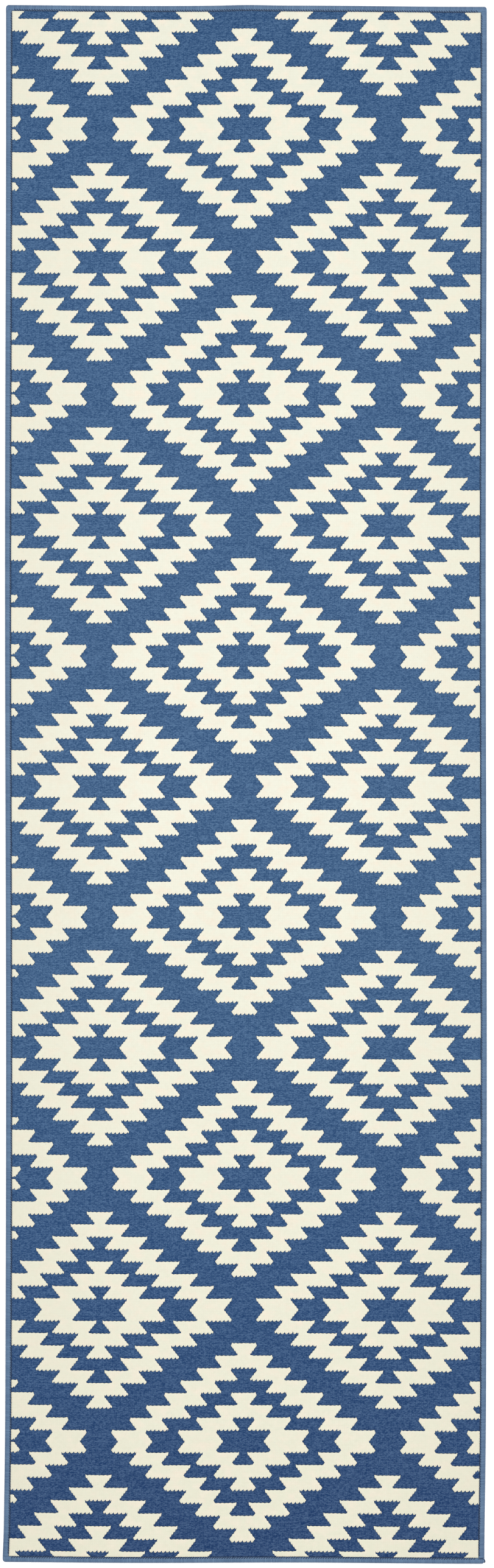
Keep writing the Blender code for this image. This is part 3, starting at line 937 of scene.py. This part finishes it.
def thread_path(half_length, reach, loose_end):
    """The path of a locking thread: reach is how much of a full stitch goes across the edge."""
    stitches = int(2 * half_length / STITCH_PITCH) - 1
    inwards, height, along = np.array(STITCH_POINTS).T
    inwards = STITCH_MIDDLE + reach * (inwards - STITCH_MIDDLE) + NARROW_STITCH_SHIFT * (1 - reach)
    number = np.arange(stitches)[:, None]
    wobble = chance.uniform(-STITCH_WOBBLE, STITCH_WOBBLE, (stitches, 1)) * MM
    s = (number + along[None, :]) * STITCH_PITCH - stitches * STITCH_PITCH / 2
    path = np.stack([s, inwards * MM + wobble, np.broadcast_to(height * MM, s.shape)], axis=-1)
    path = path.reshape(-1, 3)
    if not loose_end:
        return path
    return np.concatenate([path, (rug_half_x, 0, 0) + np.array(LOOSE_END) * MM])


# %% Thread
def thread(path, loose_end):
    """A round thread through the points of path. It thickens at a loose end, where it untwists."""
    ahead = np.gradient(path, axis=0)
    ahead /= np.linalg.norm(ahead, axis=1)[:, None]
    first = np.cross(ahead, (0.0, 0.0, 1.0))
    first /= np.linalg.norm(first, axis=1)[:, None]
    second = np.cross(ahead, first)
    turn = np.linspace(0, 2 * math.pi, THREAD_SIDES, endpoint=False)
    ring = np.cos(turn)[:, None] * first[:, None] + np.sin(turn)[:, None] * second[:, None]
    radius = np.full(len(path), THREAD_RADIUS)
    if loose_end:
        radius[-len(LOOSE_END):] *= LOOSE_END_SWELL
    return path[:, None] + radius[:, None, None] * ring


# %% Lock stitches
LONG_SIDE_REACH = 0.55
for side, carry, half_length, rounded in SIDES:
    loose_end = side == "foot"
    if rounded:
        path = thread_path(half_length - bead_width - GAP, 1.0, loose_end)
    else:
        path = thread_path(half_length, LONG_SIDE_REACH, False)
    if side == "left":
        path *= (-1, 1, 1)
    points, faces, bake_map = sweep(carry(thread(path, loose_end)), strips=16)
    make_piece(f"lock_stitches_{side}", points, faces, navy_thread,
                                  [f"stitching_{side}"], bake_map=bake_map)
    print(f"lock stitches, {side}: {len(path) // len(STITCH_POINTS)}")

# %% [markdown]
# ## The woven ground
# Under the pile are two layers of jute weft with the cotton warp between them. Each layer is a row
# of flattened yarns, one mesh to a layer. They are covered on all sides, so they are kept simple: a
# section with six sides, and only as many stations as the cloth's own gentle bends need.

# %% Wefts and warps
YARN_SIDES = 6
YARN_SHARE = 0.92
STATIONS_ALONG = 33
STATIONS_ACROSS = 7


def yarn_layer(name, node, finish, count, runs_along):
    """count parallel yarns that fill the box of a CAD node, running along Y or across in X."""
    low, high = (np.array(corner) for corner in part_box(node))
    half = (high - low) / 2
    turn = np.linspace(0, 2 * math.pi, YARN_SIDES, endpoint=False)
    spread = half[0 if runs_along else 1] / count
    width, thickness = YARN_SHARE * spread * np.cos(turn), half[2] * np.sin(turn)
    length = half[1 if runs_along else 0]
    middles = ((np.arange(count) + 0.5) / count * 2 - 1) * half[0 if runs_along else 1]
    stations = np.linspace(-length, length, STATIONS_ALONG if runs_along else STATIONS_ACROSS)
    all_points, all_faces = [], [[], []]
    for number, middle in enumerate(middles):
        rings = np.empty((len(stations), YARN_SIDES, 3))
        rings[..., 2] = thickness + (low[2] + high[2]) / 2
        rings[..., 0 if runs_along else 1] = middle + width
        rings[..., 1 if runs_along else 0] = stations[:, None]
        points, faces, _ = sweep(rings, strips=1)
        all_points.append(points)
        for kind, group in zip(all_faces, faces):
            kind.append(group + number * len(points))
    faces = [np.concatenate(kind) for kind in all_faces]
    return make_piece(name, np.concatenate(all_points), faces, finish, [node])


ground_pieces = [
    yarn_layer("jute_wefts_lower", "weft_layer_lower", jute, rows, False),
    yarn_layer("cotton_warps", "warp_layer", cotton, ends, True),
    yarn_layer("jute_wefts_upper", "weft_layer_upper", jute, rows, False),
]
print(f"woven ground: {rows} wefts in each of two layers, {ends} warps")

# %% [markdown]
# ## The latex back
# The back is brushed with latex to hold the tufts. The coat is thin enough for the weave to print
# through as low bumps, one for each knot. Its upper side is pressed flat against the cloth.

# %% Latex back
KNOT_DENT = 0.16 * MM
UNEVEN_DENTS = (0.5, 1.0)

latex_low, latex_high = (np.array(corner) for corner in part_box("latex_back_coat"))
knot_x = np.linspace(latex_low[0], latex_high[0], ends // 2 + 1)
knot_y = np.linspace(latex_low[1], latex_high[1], rows // 2 + 1)
flat_x, flat_y = np.meshgrid(knot_x, knot_y)
corner = np.arange(flat_x.size).reshape(flat_x.shape)
checker = np.add.outer(np.arange(len(knot_y)), np.arange(len(knot_x))) % 2
dent = KNOT_DENT * checker * chance.uniform(*UNEVEN_DENTS, flat_x.shape)
under = np.dstack([flat_x, flat_y, latex_low[2] + dent]).reshape(-1, 3)
rim = ring_round(corner)
upper = under[rim] * (1, 1, 0) + (0, 0, latex_high[2])
top = len(under) + np.arange(len(rim))
quads = np.stack([corner[:-1, :-1], corner[1:, :-1], corner[1:, 1:], corner[:-1, 1:]], axis=-1)
groups = [quads.reshape(-1, 4), np.stack([rim, np.roll(rim, -1), np.roll(top, -1), top], axis=-1),
          top[None, :]]
points = np.concatenate([under, upper])
latex_back = make_piece("latex_back", points, groups, latex, ["latex_back_coat"],
                        bake_map=pile_map(points, groups))
print(f"latex back: {len(latex_back.data.polygons)} faces")

# %% [markdown]
# ## Floor
# The floor is a plain pale sheet of its own, big enough for every view. It glows a little, as a
# light table does, so that the edge of the runner stands clear of its own shadow.

# %% Floor
FLOOR_HALF = 40.0
FLOOR_GLOW = 0.3

floor_paint = bpy.data.materials.new("pale_floor")
floor_paint.use_nodes = True
floor_shader = floor_paint.node_tree.nodes["Principled BSDF"]
floor_shader.inputs["Base Color"].default_value = dye(250, 250, 250)
floor_shader.inputs["Roughness"].default_value = 0.9
floor_shader.inputs["Emission Color"].default_value = (1.0, 1.0, 1.0, 1.0)
floor_shader.inputs["Emission Strength"].default_value = FLOOR_GLOW
floor_mesh = bpy.data.meshes.new("floor")
square = ((-1, -1), (1, -1), (1, 1), (-1, 1))
floor_mesh.from_pydata([(x * FLOOR_HALF, y * FLOOR_HALF, 0.0) for x, y in square], [], [(0, 1, 2, 3)])
floor_mesh.materials.append(floor_paint)
floor = bpy.data.objects.new("floor", floor_mesh)
scene.collection.objects.link(floor)
